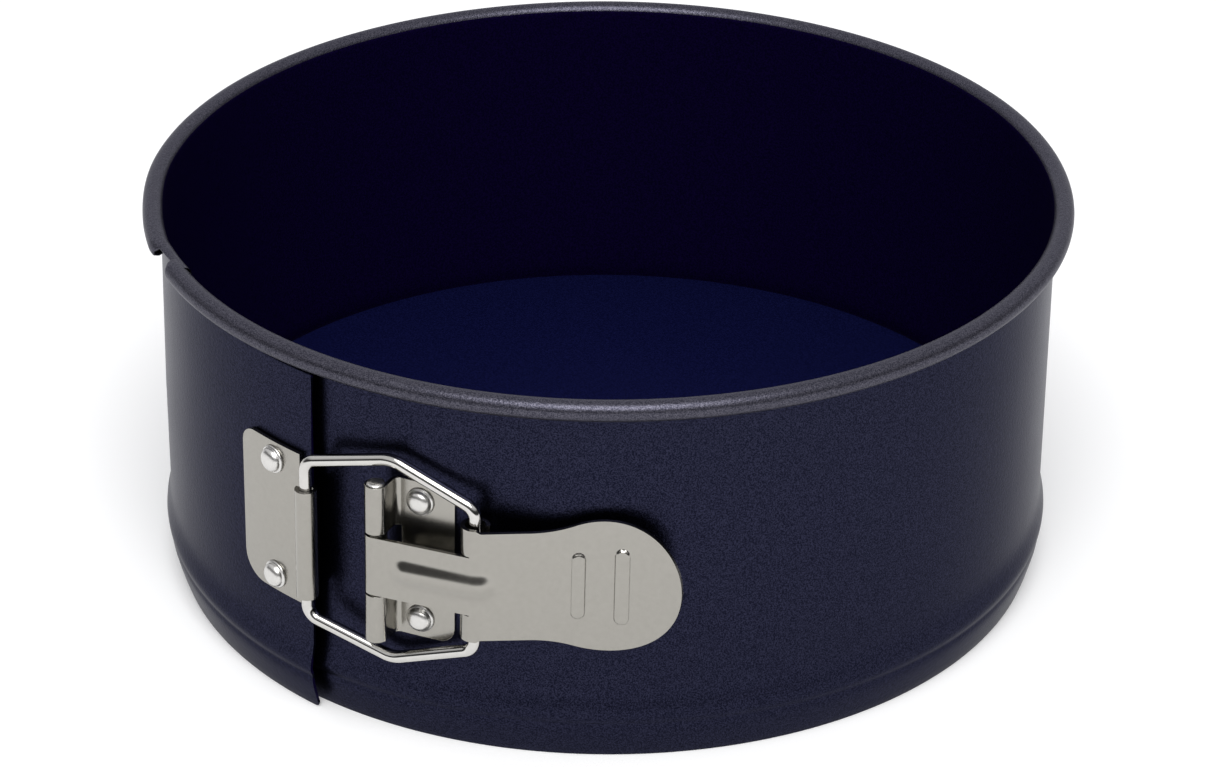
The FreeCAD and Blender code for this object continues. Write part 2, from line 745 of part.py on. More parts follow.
    knuckle = rod("lever_knuckle", "dims.knuckle_radius", "dims.tongue_half_height", PIN)
    body = join("lever_body", blank, knuckle, *ribs)
    bore = rod("lever_bore", "dims.knuckle_bore", "dims.shoulder_half_height", PIN)
    return cut("lever", body, bore)


nodes = [
    side_ring(),
    base_plate(),
    hinge_bracket(),
    hinge_pin(),
    lever(),
    bail(),
    catch_plate(),
    *(rivet(name) for name in RIVETS),
]
doc.recompute()

for item in doc.Objects:
    if "Invalid" in item.State or "Error" in item.State:
        raise RuntimeError(f"{item.Label} failed: {item.State}")
os.makedirs("parts", exist_ok=True)
for node in nodes:
    shape = node.Shape
    if shape.isNull() or not shape.isValid() or not shape.Solids:
        raise RuntimeError(f"{node.Label} has no valid solid")
    shape.exportStep(f"parts/{node.Label}.step")
    box = shape.BoundBox
    print(f"{node.Label:22s} solids {len(shape.Solids)} volume {shape.Volume:10.2f} mm3, box {box}")
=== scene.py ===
import math

import bmesh
import bpy
from mathutils import Matrix, Vector


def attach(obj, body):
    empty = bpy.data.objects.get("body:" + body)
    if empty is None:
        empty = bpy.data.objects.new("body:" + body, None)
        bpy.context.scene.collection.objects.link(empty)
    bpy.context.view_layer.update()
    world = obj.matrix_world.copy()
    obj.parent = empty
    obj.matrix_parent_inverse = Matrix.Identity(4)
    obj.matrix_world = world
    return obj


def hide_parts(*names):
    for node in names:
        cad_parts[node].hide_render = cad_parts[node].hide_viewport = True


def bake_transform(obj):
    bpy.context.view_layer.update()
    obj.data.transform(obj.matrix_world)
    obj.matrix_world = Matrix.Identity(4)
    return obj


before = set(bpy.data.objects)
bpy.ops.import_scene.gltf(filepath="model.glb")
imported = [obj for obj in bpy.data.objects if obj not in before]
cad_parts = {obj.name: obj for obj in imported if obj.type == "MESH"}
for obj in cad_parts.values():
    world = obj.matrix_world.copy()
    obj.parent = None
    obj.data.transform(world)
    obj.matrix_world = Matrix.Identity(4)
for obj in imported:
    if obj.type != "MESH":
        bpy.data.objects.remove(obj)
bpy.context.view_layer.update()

MM = 0.001

# ---- driving dimensions, in millimetres and degrees: the part's, within a few tenths ----

WALL = 91.4
SHEET = 0.6
RIM = 2.1
RIM_Z = 77.9
TUCKED_TOP = 75.5
WIDE_EXTRA = 4.6
TANGENT = -78.0
REAR_RIM_END = -47.1
OUTER_END = -12.55
FRONT_RIM_END = -40.7
LEAF_END = -44.6
CLASP_Z = 40.9
PLATE = 0.8
PIN_RADIUS = 1.4
KNUCKLE = 2.2
WIRE = 1.25
TONGUE_HALF = 6.35
RIVET_HEIGHT = 13.0  # from the clasp's middle

# ---- details that only the meshes have ----

TUCK_START = -43.8
LEAF_TOP = 75.6
LEAN = 0.9  # the clasp is riveted on a little crooked
SEAM_SWEEP = 12.0  # over which the outer layer takes up that lean
ROLL_STEPS = 44  # of the rolled rim's section
CAP_STEPS = 6  # of the round end of a sheet's section


def polar(azimuth, distance, centre=(0.0, 0.0)):
    """Plan position at an azimuth (from -Y towards +X) and a distance from a centre."""
    a = math.radians(azimuth)
    return (centre[0] + distance * math.sin(a), centre[1] - distance * math.cos(a))


def azimuth_about(centre, point):
    return math.degrees(math.atan2(point[0] - centre[0], centre[1] - point[1]))


WIDE_CENTRE = polar(TANGENT, -WIDE_EXTRA)
PIN = polar(0, 96.2)
CATCH = polar(-9.63, 96.4)
EYE = polar(12.05, 95.7)


# ---- mesh helpers ----

def shape(name, points, faces, materials):
    """A mesh object from points in millimetres. A face is a list of points, or (list, material)."""
    mesh = bpy.data.meshes.new(name)
    plain = [f[0] if isinstance(f, tuple) else f for f in faces]
    mesh.from_pydata([Vector(p) * MM for p in points], [], plain)
    for material in materials:
        mesh.materials.append(material)
    for polygon, face in zip(mesh.polygons, faces):
        polygon.use_smooth = True
        if isinstance(face, tuple):
            polygon.material_index = face[1]
    obj = bpy.data.objects.new(name, mesh)
    bpy.context.collection.objects.link(obj)
    return obj


def clean(obj, merge=1e-6, sharp=40):
    """Joins coincident points, makes normals consistent and marks the hard edges."""
    work = bmesh.new()
    work.from_mesh(obj.data)
    bmesh.ops.remove_doubles(work, verts=work.verts, dist=merge)
    bmesh.ops.recalc_face_normals(work, faces=work.faces)
    work.to_mesh(obj.data)
    work.free()
    obj.data.set_sharp_from_angle(angle=math.radians(sharp))
    return obj


def around(centre, radius, angle):
    """A point on a circle in any 2-D plane, with its angle in degrees."""
    a = math.radians(angle)
    return (centre[0] + radius * math.cos(a), centre[1] + radius * math.sin(a))


def arc_points(centre, radius, start, end, count):
    return [around(centre, radius, start + (end - start) * n / count) for n in range(count + 1)]


def smoothstep(t):
    t = max(0.0, min(1.0, t))
    return t * t * (3 - 2 * t)


def leaned(obj):
    """Turns a part of the clasp a little about its middle, at its own distance from the pan's axis."""
    slope = math.tan(math.radians(LEAN))
    tilt = 0.3 * slope
    for vertex in obj.data.vertices:
        x, y, z = vertex.co
        turn = slope * (z - CLASP_Z * MM) / math.hypot(x, y)
        vertex.co = (
            x * math.cos(turn) - y * math.sin(turn),
            x * math.sin(turn) + y * math.cos(turn),
            z - tilt * x,
        )
    return obj


def thickened(line, thickness):
    """A closed outline round an open 2-D line: its left side, a round end, its right side, a round end."""
    half = thickness / 2
    left, right = [], []
    last = len(line) - 1
    for n, point in enumerate(line):
        before, after = line[max(n - 1, 0)], line[min(n + 1, last)]
        dx, dy = after[0] - before[0], after[1] - before[1]
        size = math.hypot(dx, dy) or 1.0
        nx, ny = -dy / size * half, dx / size * half
        left.append((point[0] + nx, point[1] + ny))
        right.append((point[0] - nx, point[1] - ny))

    def cap(centre, start_point):
        a = math.degrees(math.atan2(start_point[1] - centre[1], start_point[0] - centre[0]))
        return arc_points(centre, half, a, a - 180, CAP_STEPS)[1:-1]

    return left + cap(line[-1], left[-1]) + right[::-1] + cap(line[0], right[0])


# ---- the ring: a strip swept round the pan ----

# the middle of the strip up from its lower edge: lip, ledge, crease, bead and wall
FOOT_LINE = [
    (-1.55, 0.3),
    (-0.92, 2.2),
    (-0.36, 4.2),
    (0.08, 5.9),
    (0.22, 6.8),
    (0.26, 7.3),
    (0.22, 7.75),
    (0.22, 8.1),
    (0.32, 8.5),
    (0.54, 9.0),
    (0.70, 9.5),
    (0.76, 10.2),
    (0.67, 11.0),
    (0.46, 11.9),
    (0.19, 13.0),
    (-0.06, 14.1),
    (-0.22, 15.3),
    (-0.29, 16.8),
    (-0.30, 19.0),
    (-0.30, 26.0),
]


def rolled_section(sweep=310.0, scale=1.0, shift=0.0):
    """The strip's section, with radii from WALL, and its rim rolled outwards through sweep degrees.

    scale shrinks the roll towards its inner top edge, and shift moves it outwards.
    """
    roll_radius = RIM - SHEET / 2
    anchor = (0.2, 79.0)
    roll = []
    for x, z in arc_points((RIM - SHEET, RIM_Z), roll_radius, 180, 180 - sweep, ROLL_STEPS):
        roll.append((anchor[0] + scale * (x - anchor[0]) + shift, anchor[1] + scale * (z - anchor[1])))
    wall = [(-SHEET / 2, z) for z in (40.0, 60.0, 70.0, 74.5, 75.8)]
    return thickened(FOOT_LINE + wall + roll, SHEET)


def plain_section(top, lift=0.0):
    """The strip's section where it has no rim, with its lower edge cut away up to lift."""
    (r0, z0), (r1, z1) = FOOT_LINE[:2]
    lowest = (r0 + (r1 - r0) * lift / (z1 - z0), z0 + lift)
    wall = [(-SHEET / 2, z) for z in (40.0, 60.0, top - 1.0, top - SHEET / 2)]
    return thickened([lowest] + FOOT_LINE[1:] + wall, SHEET)


def on_circle(azimuth):
    return (azimuth, (0.0, 0.0), 0.0)


def on_wide_arc(azimuth):
    return (azimuth, WIDE_CENTRE, WIDE_EXTRA)


def leaning(azimuth, z, share):
    """An azimuth at a height, turned about the clasp's middle as everything riveted there is."""
    return azimuth + share * LEAN * (z - CLASP_Z) / WALL


def drawn_in(azimuth, centre, z):
    """How far the outer layer bends inwards at its top, where it passes under the front rim."""
    if centre == (0.0, 0.0):
        return 0.0
    deepest, first_azimuth, sweep, lowest, rise = 0.55, -72, 16, 35, 45
    return deepest * smoothstep((azimuth - first_azimuth) / sweep) * smoothstep((z - lowest) / rise)


def swept_strip(name, stations, sections, materials, capped=(True, True)):
    """Sweeps one closed section per station. Its faces get the outside, inside or rim material."""
    points, faces = [], []
    count = len(sections[0])
    for (azimuth, centre, extra), section in zip(stations, sections):
        seam = (azimuth - OUTER_END + SEAM_SWEEP) / SEAM_SWEEP
        share = 0.0 if centre == (0.0, 0.0) else smoothstep(seam)
        for r, z in section:
            distance = WALL + extra + r - drawn_in(azimuth, centre, z)
            x, y = polar(leaning(azimuth, z, share), distance, centre)
            points.append((x, y, z))
    for i in range(len(stations) - 1):
        for j in range(count):
            k = (j + 1) % count
            a, b = i * count, (i + 1) * count
            faces.append([a + j, a + k, b + k, b + j])
    for row, wanted in ((0, capped[0]), (len(stations) - 1, capped[1])):
        if wanted:
            base = row * count
            for j in range(count // 2 - CAP_STEPS):
                opposite = base + count - CAP_STEPS - 1 - j
                faces.append([base + j, base + j + 1, opposite - 1, opposite])
    obj = shape(name, points, faces, materials)
    middle = WALL - SHEET / 2
    rim_inside, rim_outside = 78.6, 75.7
    for n, polygon in enumerate(obj.data.polygons):
        c = polygon.center / MM
        centre, extra = stations[min(n // count, len(stations) - 1)][1:]
        distance = math.hypot(c.x - centre[0], c.y - centre[1]) - extra
        distance += drawn_in(azimuth_about(centre, (c.x, c.y)), centre, c.z)
        if distance < middle + profile_bulge(c.z) and c.z < rim_inside:
            polygon.material_index = 1
        # faces of the rolled rim take the rim coating, a copy of the wall's coating painted lighter to
        # stand for light on the rim
        elif c.z > rim_outside:
            polygon.material_index = 2
    return obj


def profile_bulge(z):
    """How far the middle of the strip stands out from the wall's own middle at a height."""
    for (r0, z0), (r1, z1) in zip(FOOT_LINE, FOOT_LINE[1:]):
        if z0 <= z <= z1:
            return r0 + (r1 - r0) * (z - z0) / max(z1 - z0, 1e-9) + SHEET / 2
    return 0.0


def steps(start, end, step):
    count = max(1, math.ceil(abs(end - start) / step))
    return [start + (end - start) * n / count for n in range(count + 1)]


def edge_steps(start, end, step):
    """Steps with a very short one at each end, so that neighbours shade alike where they meet."""
    inner = steps(start, end, step)
    short = math.copysign(0.02, end - start)
    return [start, start + short] + inner[1:-1] + [end - short, end]


def build_front(materials):
    """The inner end: the front rim's nose, the front wall and the leaf inside the outer layer."""
    nose = 1.7
    azimuths = [FRONT_RIM_END + nose * t for t in (0.0, 0.03, 0.09, 0.18, 0.3, 0.45, 0.62, 0.8, 1.0)]
    azimuths += edge_steps(FRONT_RIM_END + nose, 90.0, 1.0)[1:]
    sections = []
    for azimuth in azimuths:
        t = min(1.0, (azimuth - FRONT_RIM_END) / nose)
        sections.append(rolled_section(scale=0.22 + 0.78 * math.sqrt(1 - (1 - t) ** 2)))
    stations = [on_circle(a) for a in azimuths]
    front = swept_strip("ring_front", stations, sections, materials, (True, False))

    stations = [on_circle(a) for a in steps(LEAF_END, FRONT_RIM_END, 0.95)]
    sections = [plain_section(LEAF_TOP)] * len(stations)
    leaf = swept_strip("ring_leaf", stations, sections, materials, (True, False))
    return join_objects(front, leaf)


def build_back(materials):
    stations = [on_circle(a) for a in edge_steps(90.0, 360 + TANGENT, 1.0)]
    sections = [rolled_section()] * len(stations)
    return swept_strip("ring_back", stations, sections, materials, (False, False))


def build_outer(materials):
    """The outer end: the rear rim, its crushed tongue in the front rim, and the layer tucked below."""
    cut_start, cut_length, tongue_length = REAR_RIM_END - 1.4, 2.6, 6.5
    cut_end = cut_start + cut_length
    azimuths = edge_steps(TANGENT, cut_start, 1.0)
    sections = [rolled_section()] * len(azimuths)
    # the roll is torn open towards its end
    tongue_sweep, tongue_scale, tongue_shift = 125, 0.82, -0.35
    jag = (0, 5, -6, 4, -3, 6, -5, 3, 0, 0)
    for n, tooth in enumerate(jag, start=1):
        t = n / len(jag)
        azimuths.append(cut_start + cut_length * t)
        sweep = 310 - (310 - tongue_sweep) * t ** 0.8 + tooth
        sections.append(rolled_section(sweep, 1 - (1 - tongue_scale) * t * t, tongue_shift * t * t))
    full = len(azimuths)
    for n in range(1, 10):
        t = n / 9
        azimuths.append(cut_end + tongue_length * t)
        scale = tongue_scale - 0.14 * min(1, 2 * t)
        sections.append(rolled_section(tongue_sweep, scale, tongue_shift - 0.75 * t))
    stations = [on_wide_arc(a) for a in azimuths]
    rear = swept_strip("ring_rear", stations[:full], sections[:full], materials, (False, True))
    tongue = rim_tongue("rim_tongue", stations[full - 1:], sections[full - 1:], materials)

    # the tucked layer reaches up to the tongue as far as the mouth of the front rim
    corner, rise = 1.2, 2.1
    corner_sweep = math.degrees(corner / WALL)
    azimuths = steps(azimuths[full - 1], OUTER_END - corner_sweep, 1.0)
    sections = [plain_section(TUCKED_TOP + rise * (1 - smoothstep(a - TUCK_START))) for a in azimuths]
    for t in (0.3, 0.55, 0.75, 0.9, 0.98, 1.0):
        azimuths.append(OUTER_END - corner_sweep * (1 - t))
        sections.append(plain_section(TUCKED_TOP, corner * (1 - math.sqrt(1 - t * t))))
    stations = [on_wide_arc(a) for a in azimuths]
    tucked = swept_strip("ring_tucked", stations, sections, materials, (False, True))
    return join_objects(rear, tongue, tucked)


def rim_tongue(name, stations, sections, materials):
    """Only the rolled part of each section."""
    points, faces = [], []
    # a section is one side of the sheet, a round end, the other side and a round end
    side = len(sections[0]) // 2 - (CAP_STEPS - 1)
    roll = ROLL_STEPS + 1
    picked = range(side - roll, side + CAP_STEPS + roll)
    for (azimuth, centre, extra), section in zip(stations, sections):
        for j in picked:
            r, z = section[j]
            x, y = polar(azimuth, WALL + extra + r - drawn_in(azimuth, centre, z), centre)
            points.append((x, y, z))
    size = len(picked)
    for i in range(len(stations) - 1):
        for j in range(size):
            k = (j + 1) % size
            a, b = i * size, (i + 1) * size
            faces.append(([a + j, a + k, b + k, b + j], 2))
    return shape(name, points, faces, materials)


def join_objects(first, *others):
    """Adds the meshes of the others to the first object."""
    for other in others:
        work = bmesh.new()
        work.from_mesh(first.data)
        work.from_mesh(other.data)
        work.to_mesh(first.data)
        work.free()
        bpy.data.objects.remove(other)
    return first


# ---- lathe ----

def lathe(name, profile, materials, segments=96, matrix=None, sharp=40):
    """Turns a profile of (radius, height) about Z."""
    points, faces = [], []
    for n in range(segments):
        a = 2 * math.pi * n / segments
        for r, z in profile:
            points.append((r * math.cos(a), r * math.sin(a), z))
    size = len(profile)
    for n in range(segments):
        m = (n + 1) % segments
        for j in range(size - 1):
            faces.append([n * size + j, m * size + j, m * size + j + 1, n * size + j + 1])
    obj = shape(name, points, faces, materials)
    clean(obj, sharp=sharp)
    if matrix is not None:
        obj.data.transform(matrix)
    return obj


# ---- bent sheet metal ----

class Track:
    """The front surface of a bent sheet seen from above, in straight and bent runs."""

    def __init__(self, start, heading):
        self.pieces = []
        self.end = (start[0], start[1], heading)
        self.length = 0.0

    def straight(self, length):
        self.pieces.append((self.length, length, self.end, 0.0))
        x, y, h = self.end
        a = math.radians(h)
        self.end = (x + length * math.cos(a), y + length * math.sin(a), h)
        self.length += length
        return self

    def bend(self, radius, angle):
        """Turns left by angle degrees, or right if it is negative."""
        length = radius * math.radians(abs(angle))
        self.pieces.append((self.length, length, self.end, math.copysign(1 / radius, angle)))
        self.end = self._along(self.end, length, math.copysign(1 / radius, angle))
        self.length += length
        return self

    @staticmethod
    def _along(state, distance, curvature):
        x, y, h = state
        a = math.radians(h)
        if not curvature:
            return (x + distance * math.cos(a), y + distance * math.sin(a), h)
        b = a + distance * curvature
        dx = (math.sin(b) - math.sin(a)) / curvature
        dy = (math.cos(b) - math.cos(a)) / curvature
        return (x + dx, y - dy, math.degrees(b))

    def at(self, distance):
        """Plan position and outward normal, to the right, at a distance along the track."""
        for begin, length, state, curvature in self.pieces:
            if distance <= begin + length or (begin, length) == self.pieces[-1][:2]:
                x, y, h = self._along(state, distance - begin, curvature)
                a = math.radians(h)
                return (x, y), (math.sin(a), -math.cos(a))

    def distance_at_x(self, x):
        """The distance along the track where it reaches x, for a track that runs towards +X."""
        low, high = 0.0, self.length
        for _ in range(50):
            middle = (low + high) / 2
            if self.at(middle)[0][0] < x:
                low = middle
            else:
                high = middle
        return low


def sheet_patches(name, patches, material, thickness=PLATE, flip=False, bevel=0.18):
    """Sheet metal from patches of its front surface. A patch is rows of points."""
    points, faces = [], []
    for rows in patches:
        base = len(points)
        width = len(rows[0])
        for row in rows:
            points.extend(row)
        for i in range(len(rows) - 1):
            for j in range(width - 1):
                a = base + i * width + j
                face = [a, a + 1, a + width + 1, a + width]
                faces.append(face[::-1] if flip else face)
    obj = shape(name, points, faces, [material])
    work = bmesh.new()
    work.from_mesh(obj.data)
    bmesh.ops.remove_doubles(work, verts=work.verts, dist=1e-6)
    bmesh.ops.dissolve_degenerate(work, edges=work.edges, dist=1e-7)
    work.to_mesh(obj.data)
    work.free()
    solid = obj.modifiers.new("thickness", "SOLIDIFY")
    solid.thickness = thickness * MM
    solid.offset = -1
    solid.use_even_offset = True
    solid.use_quality_normals = True
    edge = obj.modifiers.new("edges", "BEVEL")
    edge.width = bevel * MM
    edge.segments = 2
    edge.limit_method = "ANGLE"
    edge.angle_limit = math.radians(50)
    edge.harden_normals = True
    return obj


def column(track, s, heights, lift=None):
    """One row of a patch: points of the sheet's front at a distance along the track, at each height."""
    (x, y), (nx, ny) = track.at(s)
    out = []
    for z in heights:
        up = lift(x, z) if lift else 0.0
        out.append((x + nx * up, y + ny * up, CLASP_Z + z))
    return out


def spread(low, high, count):
    return [low + (high - low) * n / count for n in range(count + 1)]


def curl(centre, radius, end, sweep):
    """A track rolled round a centre through sweep degrees, up to the angle end."""
    start = end - sweep
    return Track(around(centre, radius, start), start + 90).bend(radius, sweep)


def cornered(half, corner, inset):
    """Half the height of a plate with round corners, at inset from where its corner's arc starts."""
    if inset <= 0:
        return half
    return half - (corner - math.sqrt(max(corner ** 2 - inset ** 2, 0.0)))


# lever

TONGUE_SLOPE = 6.1
THUMB_SLOPE = 30.4
BEND_RADIUS = 4.6
TONGUE_LENGTH = 21.2
THUMB_STRAIGHT = 19.4
FLARE_RADIUS = 45.0
SHOULDER_HALF = 12.25
WAIST_HALF = 11.75
THUMB_CENTRE_X = 42.9
THUMB_RADIUS = 14.2
NECK_RADIUS = 20.0
PLATE_START = 20.15
SHOULDER_END = 21.4


def thumb_half_height(x):
    """Half the lever's height at x: shoulders, waist, concave neck and round end."""
    reach = math.sqrt((THUMB_RADIUS + NECK_RADIUS) ** 2 - (WAIST_HALF + NECK_RADIUS) ** 2)
    neck_start = THUMB_CENTRE_X - reach
    neck_end = THUMB_CENTRE_X - reach * THUMB_RADIUS / (THUMB_RADIUS + NECK_RADIUS)
    if x < neck_start:
        return WAIST_HALF + (SHOULDER_HALF - WAIST_HALF) * (1 - smoothstep(x - SHOULDER_END))
    if x < neck_end:
        return WAIST_HALF + NECK_RADIUS - math.sqrt(NECK_RADIUS ** 2 - (x - neck_start) ** 2)
    return math.sqrt(max(THUMB_RADIUS ** 2 - (x - THUMB_CENTRE_X) ** 2, 0.0))


def rib(x, z, start, end, half_width, slope, height, across=False):
    """The height at (x, z) of a raised rib with round ends and sloping sides."""
    if across:
        x, z = z, x
    low, high = start + half_width, end - half_width
    d = math.hypot(x - min(max(x, low), high), z)
    return height * smoothstep((half_width - d) / slope)


def lever_ribs(x, z):
    """The long rib, which is lower towards the thumb piece, and the two grip ribs."""
    long_start = 3.4
    long_height = 1.02 - 0.011 * (x - long_start)
    long_rib = rib(x, z, long_start, 25.7, 3.5, 3.4, long_height)
    grip_left = rib(x - 38.2, z, -7.2, 7.2, 1.3, 0.36, 0.42, across=True)
    grip_right = rib(x - 45.75, z, -8.3, 8.3, 1.5, 0.36, 0.42, across=True)
    return long_rib + grip_left + grip_right


def build_lever(metal):
    root_angle = TONGUE_SLOPE - 90
    turn = THUMB_SLOPE - TONGUE_SLOPE
    cutback = BEND_RADIUS * math.tan(math.radians(turn / 2))
    track = Track(around(PIN, KNUCKLE, root_angle), TONGUE_SLOPE)
    track.straight(TONGUE_LENGTH - cutback).bend(BEND_RADIUS, turn)
    track.straight(THUMB_STRAIGHT - cutback).bend(FLARE_RADIUS, -32)

    # knuckle: the sheet rolled back round the pin, from its free edge to the tongue
    roll = curl(PIN, KNUCKLE, root_angle, 287)
    inner = spread(-TONGUE_HALF, TONGUE_HALF, 64)
    patches = [[column(roll, s, inner) for s in spread(0, roll.length, 56)]]
    patches.append([column(track, s, inner, lever_ribs) for s in spread(0, PLATE_START, 84)])

    # plate: shoulders, waist and thumb piece, with closer rows towards its round end
    distances = spread(PLATE_START, track.distance_at_x(48.0), 230)
    last_x = THUMB_CENTRE_X + THUMB_RADIUS - 0.002
    tip = []
    for angle in spread(22, 90, 40):
        x = THUMB_CENTRE_X + THUMB_RADIUS * math.sin(math.radians(angle))
        tip.append(track.distance_at_x(min(x, last_x)))
    plate = []
    for s in distances + tip[1:]:
        x = track.at(s)[0][0]
        half = thumb_half_height(x)
        core = min(TONGUE_HALF, 0.52 * half)
        side = spread(core, half, 24)[1:]
        heights = [-v for v in reversed(side)] + [core * v / TONGUE_HALF for v in inner] + side
        plate.append(column(track, s, heights, lever_ribs))
    patches.append(plate)

    # shoulders: rolled back round the bail's leg, with a little more room on the wall's side
    room, slit = 0.14, 0.22
    plate_edge = track.at(PLATE_START)[0]
    roll_centre = around(EYE, room, root_angle + 180)
    shoulder = curl(roll_centre, math.dist(plate_edge, EYE) + room, root_angle, 262)
    side = spread(TONGUE_HALF, thumb_half_height(plate_edge[0]), 24)
    for sign in (-1, 1):
        heights = sorted(sign * v for v in side)
        rows = [column(shoulder, s, heights) for s in spread(0, shoulder.length, 52)]
        for row in rows[:-1]:
            edge = 0 if sign > 0 else -1
            x, y, z = row[edge]
            row[edge] = (x, y, z + sign * slit)
        rows[-1] = column(track, PLATE_START, heights)
        patches.append(rows)
    return sheet_patches("lever_sheet", patches, metal, flip=True)


# hinge bracket

def build_bracket(metal):
    half, gap, corner = 17.2, 6.85, 3.0
    right, fold, face = 8.9, 1.1, WALL + PLATE
    fold_azimuth = math.degrees(math.asin((KNUCKLE + fold) / (face + fold)))

    # plate: from its right-hand edge to the fold
    edge_x = polar(right, face)[0]
    rows = []
    for azimuth in steps(right, fold_azimuth, 0.14):
        x, y = polar(azimuth, face)
        limit = cornered(half, corner, corner - (edge_x - x))
        heights = [-limit + (limit - gap) * n / 12 for n in range(12)]
        heights += spread(-gap, gap, 10)
        heights += [gap + (limit - gap) * n / 12 for n in range(1, 13)]
        rows.append([(x, y, CLASP_Z + z) for z in heights])
    patches = [rows]

    # ears: past the fold the sheet stands off the wall, then rolls round the pin
    track = Track(polar(fold_azimuth, face), 180 + fold_azimuth).bend(fold, 90 - fold_azimuth)
    track.straight(track.end[1] - PIN[1]).bend(KNUCKLE, -290)
    for sign in (-1, 1):
        heights = sorted(sign * v for v in [gap + (half - gap) * n / 12 for n in range(13)])
        patches.append([column(track, s, heights) for s in spread(0, track.length, 96)])
    return sheet_patches("bracket_sheet", patches, metal)


# catch plate

def build_catch(metal):
    face = WALL + WIDE_EXTRA + PLATE
    # its ends, from azimuths about the pan's axis
    left, right = (azimuth_about(WIDE_CENTRE, polar(a, WALL + 3)) for a in (-21.6, -11.3))
    half_low, half_high = 16.6, 16.9
    band_low, band_high = 12.95, 11.0
    low_corner, high_corner = 5.5, 3.5
    foot = azimuth_about(WIDE_CENTRE, CATCH)
    gap_radius = math.dist(CATCH, WIDE_CENTRE) - face

    # plate: from its left-hand edge, with round corners, to its neck
    left_x = polar(left, face, WIDE_CENTRE)[0]
    rows = []
    for azimuth in steps(left, right, 0.13):
        x, y = polar(azimuth, face, WIDE_CENTRE)
        low = cornered(half_low, low_corner, low_corner - (x - left_x))
        high = cornered(half_high, high_corner, high_corner - (x - left_x))
        inner_low, inner_high = min(band_low, low - 0.6), min(band_high, high - 0.6)
        heights = spread(-low, -inner_low, 8)[:-1]
        heights += spread(-inner_low, inner_high, 40)
        heights += spread(inner_high, high, 8)[1:]
        rows.append([(x, y, CLASP_Z + z) for z in heights])

    # neck: the narrower band from the plate to the curl
    heights = spread(-band_low, band_high, 40)
    neck = []
    for azimuth in steps(right, foot, 0.13):
        x, y = polar(azimuth, face, WIDE_CENTRE)
        neck.append([(x, y, CLASP_Z + z) for z in heights])

    # curl: rolled back round the bail
    track = Track(polar(foot, face, WIDE_CENTRE), foot).bend(gap_radius, -262)
    rolled = [column(track, s, heights) for s in spread(0, track.length, 56)]
    return sheet_patches("catch_sheet", [rows, neck, rolled], metal, flip=True)


# bail

def build_bail(metal):
    """The wire loop: straight runs and round corners, swept with a circle."""
    span = math.dist(CATCH, EYE)
    ux, uy = (EYE[0] - CATCH[0]) / span, (EYE[1] - CATCH[1]) / span
    # corners before rounding: distance from the catch's leg, height from the clasp's middle, radius
    corners = [
        (0, -17.2, 3.0),
        (0, 17.2, 3.0),
        (18.6, 22.1, 6.0),
        (span, 15.5, 3.0),
        (span, -15.5, 3.0),
        (18.6, -22.1, 6.0),
    ]
    line = []
    for n, (u, v, radius) in enumerate(corners):
        before, after = corners[n - 1], corners[(n + 1) % len(corners)]
        back = math.atan2(before[1] - v, before[0] - u)
        on = math.atan2(after[1] - v, after[0] - u)
        turn = (on - back + math.pi) % (2 * math.pi) - math.pi
        half = abs(turn) / 2
        reach = radius / math.tan(half)
        middle = back + turn / 2
        cu = u + math.cos(middle) * radius / math.sin(half)
        cv = v + math.sin(middle) * radius / math.sin(half)
        start = (u + math.cos(back) * reach, v + math.sin(back) * reach)
        end = (u + math.cos(on) * reach, v + math.sin(on) * reach)
        a0 = math.atan2(start[1] - cv, start[0] - cu)
        a1 = math.atan2(end[1] - cv, end[0] - cu)
        delta = (a1 - a0 + math.pi) % (2 * math.pi) - math.pi
        for k in range(17):
            a = a0 + delta * k / 16
            line.append((cu + radius * math.cos(a), cv + radius * math.sin(a)))
    points, faces = [], []
    segments = 28
    count = len(line)
    for n, (u, v) in enumerate(line):
        (ub, vb), (ua, va) = line[n - 1], line[(n + 1) % count]
        tu, tv = ua - ub, va - vb
        size = math.hypot(tu, tv)
        nu, nv = tv / size, -tu / size
        for k in range(segments):
            a = 2 * math.pi * k / segments
            across, out = WIRE * math.cos(a), WIRE * math.sin(a)
            pu, pv = u + nu * across, v + nv * across
            x = CATCH[0] + ux * pu + uy * out
            y = CATCH[1] + uy * pu - ux * out
            points.append((x, y, CLASP_Z + pv))
    for n in range(count):
        m = (n + 1) % count
        for k in range(segments):
            j = (k + 1) % segments
            faces.append([n * segments + k, n * segments + j, m * segments + j, m * segments + k])
    return clean(shape("bail_wire", points, faces, [metal]))


def placed(azimuth, distance, z, centre=(0.0, 0.0)):
    """A matrix with its Z axis pointing outwards at an azimuth."""
    x, y = polar(azimuth, distance, centre)
    ox, oy = polar(azimuth, 1.0)
    out = Vector((ox, oy, 0))
    side = Vector((-oy, ox, 0))
    m = Matrix((side, Vector((0, 0, 1)), out)).transposed().to_4x4()
    m.translation = Vector((x, y, z)) * MM
    return m


